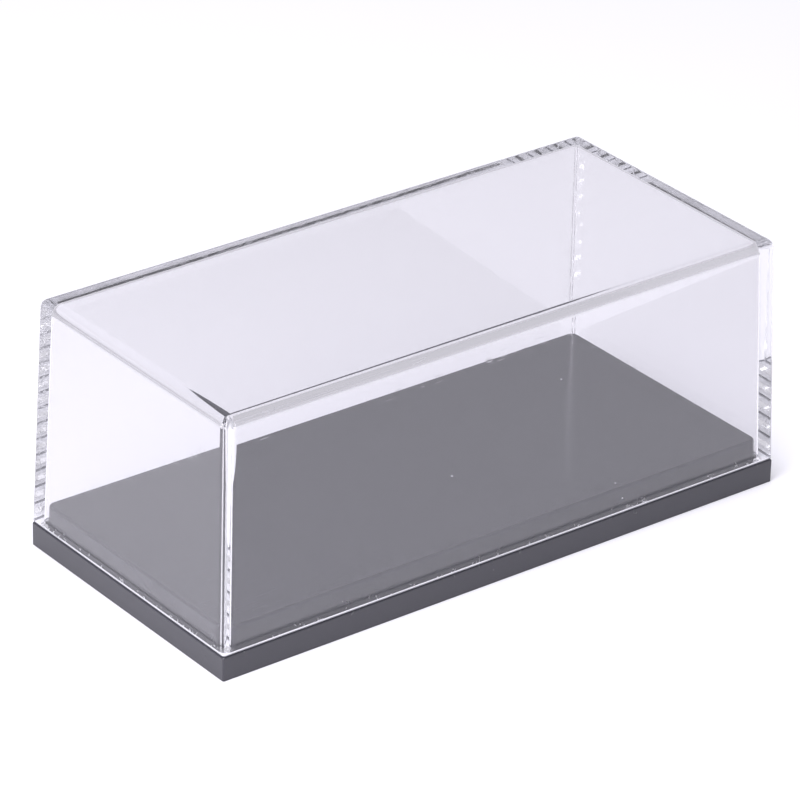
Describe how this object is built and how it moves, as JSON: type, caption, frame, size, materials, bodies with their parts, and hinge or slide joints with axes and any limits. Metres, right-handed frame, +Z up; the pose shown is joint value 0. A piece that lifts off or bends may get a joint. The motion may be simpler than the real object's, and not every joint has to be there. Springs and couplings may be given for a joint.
{
  "type": "display case",
  "caption": "Small rectangular display case: a clear drafted cover that drops over the raised plinth of a glossy black base.",
  "frame": {"origin": "middle of the base's footprint, on the plane that the case stands on", "axes": "+X along the case's length, +Y across its width, +Z up through the cover's top"},
  "size_m": [0.097, 0.046, 0.0386],
  "materials": {
    "black_base": "gloss, moulded black",
    "clear_cover": "polished, water clear"
  },
  "bodies": {
    "base": {"base": "black_base"},
    "cover": {"cover": "clear_cover"}
  },
  "joints": [
    {"name": "cover_lift", "type": "slide", "parent": "base", "child": "cover", "axis": [0, 0, 1], "range_m": [0, 0.045]}
  ]
}
